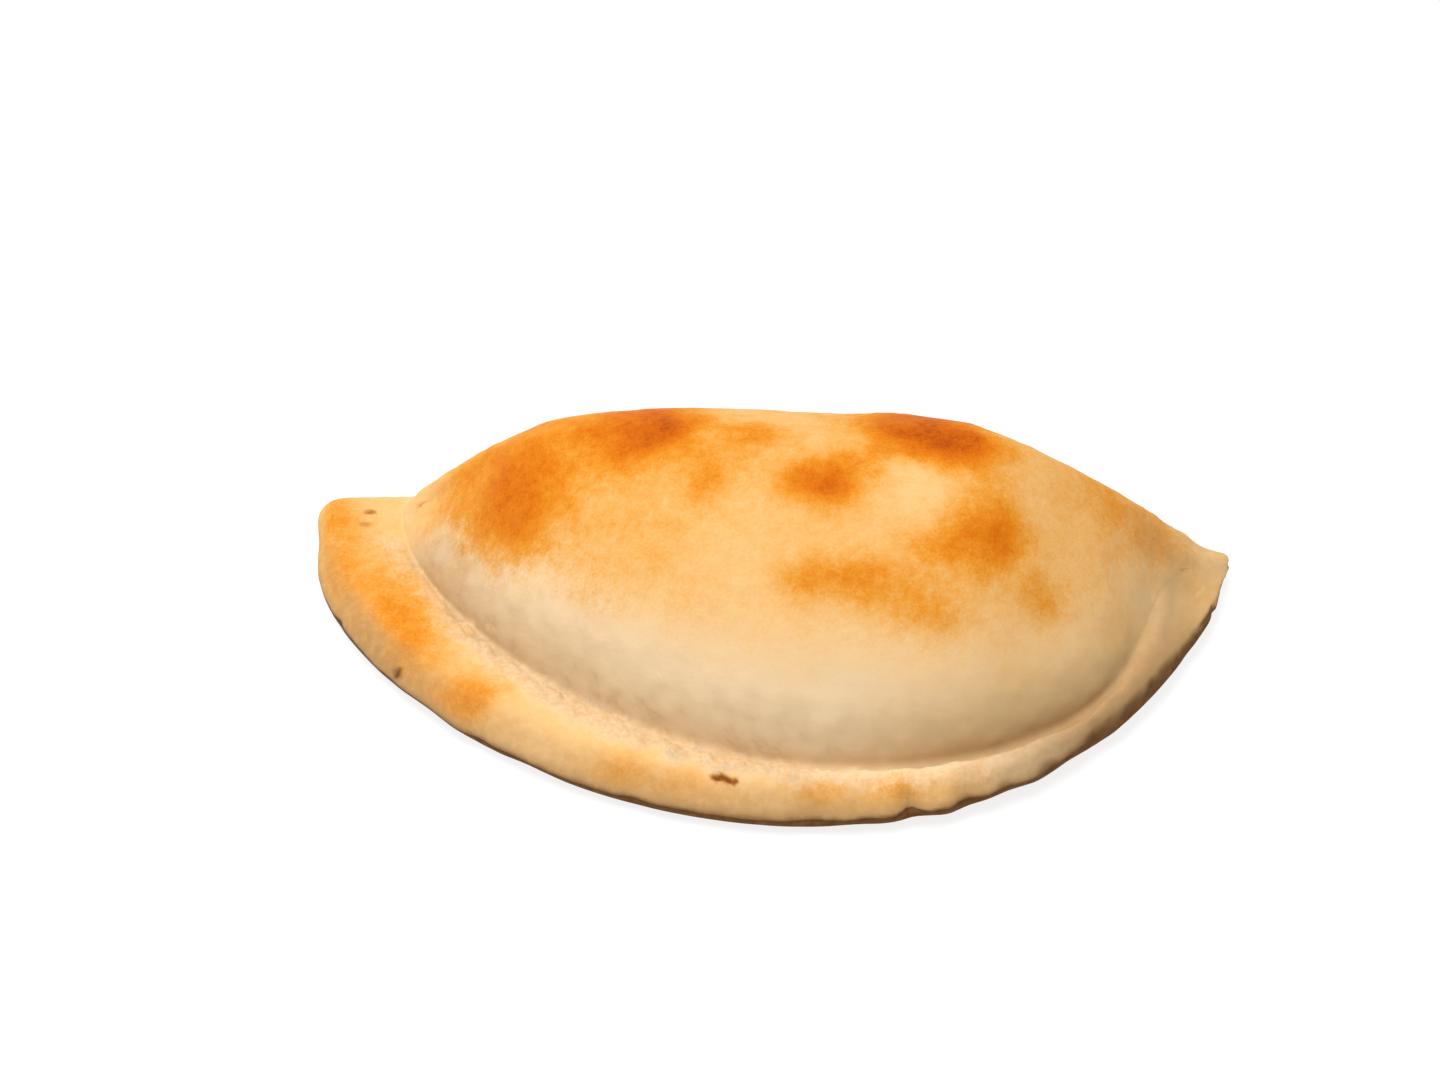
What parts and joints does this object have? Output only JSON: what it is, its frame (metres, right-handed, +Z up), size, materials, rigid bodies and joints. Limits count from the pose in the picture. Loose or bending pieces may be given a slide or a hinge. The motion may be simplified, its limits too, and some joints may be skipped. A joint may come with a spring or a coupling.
{
  "type": "samosa",
  "caption": "Baked half-moon pastry with a domed filled top, a turned-over sealed rim along its curved side, a rounded fold at the back, one blunt end and one pointed end.",
  "frame": {"origin": "under the middle of the bounding box, at the level of the flat base", "axes": "+X along the length towards the pointed end, +Y from the sealed rim to the fold, +Z up out of the base"},
  "size_m": [0.1404, 0.0666, 0.0365],
  "materials": {
    "crust": "matt baked dough, pale gold with browned patches"
  },
  "bodies": {
    "root": {"samosa": "crust"}
  },
  "joints": []
}
